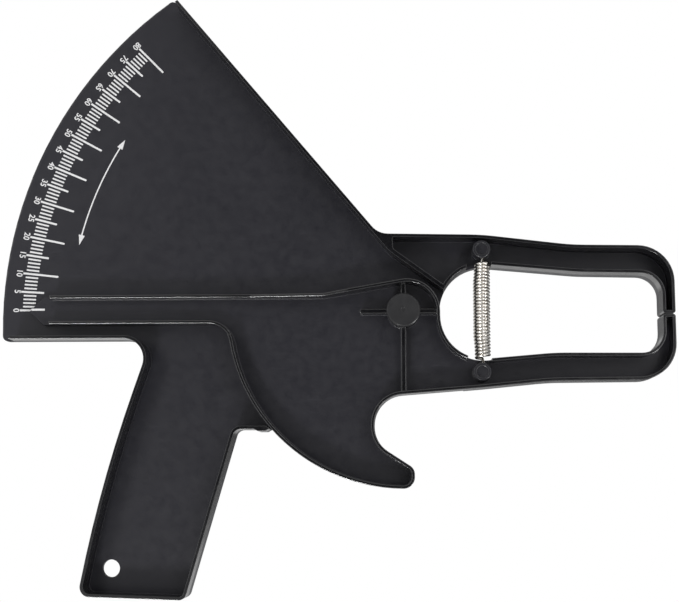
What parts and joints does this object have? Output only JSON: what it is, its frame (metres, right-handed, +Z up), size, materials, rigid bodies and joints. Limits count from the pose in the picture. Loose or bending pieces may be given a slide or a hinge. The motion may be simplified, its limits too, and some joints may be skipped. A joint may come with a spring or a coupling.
{
  "type": "skinfold caliper",
  "caption": "Hand-held skinfold caliper with a fan-shaped millimetre dial, a pistol grip, and a spring-closed jaw lever whose long arm is the dial's pointer.",
  "frame": {"origin": "middle of the hanging hole in the handle, half-way through its plate", "axes": "+X along the jaws, from the dial towards the jaw tips; +Z up, from the handle's foot towards the dial's top; +Y from the dial's face towards the plain back"},
  "size_m": [0.2735, 0.0178, 0.2473],
  "materials": {
    "body_plastic": "fine matte moulded",
    "pin_plastic": "smooth moulded",
    "washer_plastic": "smooth",
    "spring_steel": "bright drawn wire",
    "scale_print": "white print"
  },
  "bodies": {
    "frame": {"frame": "body_plastic", "pivot_pin": "pin_plastic", "pivot_washer": "washer_plastic", "pivot_retainer": "pin_plastic", "upper_spring_pin": "pin_plastic"},
    "lever": {"lever": "body_plastic", "lower_spring_pin": "pin_plastic"},
    "spring_top": {"spring_upper_hook": "spring_steel", "spring_coil": "spring_steel"},
    "spring_bottom": {"spring_lower_hook": "spring_steel"}
  },
  "joints": [
    {"name": "lever_pivot", "type": "hinge", "parent": "frame", "child": "lever", "pos_m": [0.1179, -0.00625, 0.1025], "axis": [0, 1, 0], "range_deg": [0, 46], "stiffness_Nm_per_rad": 0.3, "springref_deg": -91.67},
    {"name": "spring_swing", "type": "hinge", "parent": "frame", "child": "spring_top", "pos_m": [0.14942, -0.00795, 0.12704], "axis": [0, 1, 0], "range_deg": [0, 23.5]},
    {"name": "spring_stretch", "type": "slide", "parent": "spring_top", "child": "spring_bottom", "axis": [-0.0044, 0, -1], "range_m": [0, 0.0208], "deforming": ["spring_coil", "spring_upper_hook", "spring_lower_hook"]}
  ],
  "couplings": [
    {"joint": "spring_swing", "follows": "lever_pivot", "ratio": 0.5},
    {"joint": "spring_stretch", "follows": "lever_pivot", "m_per_rad": 0.025693}
  ]
}
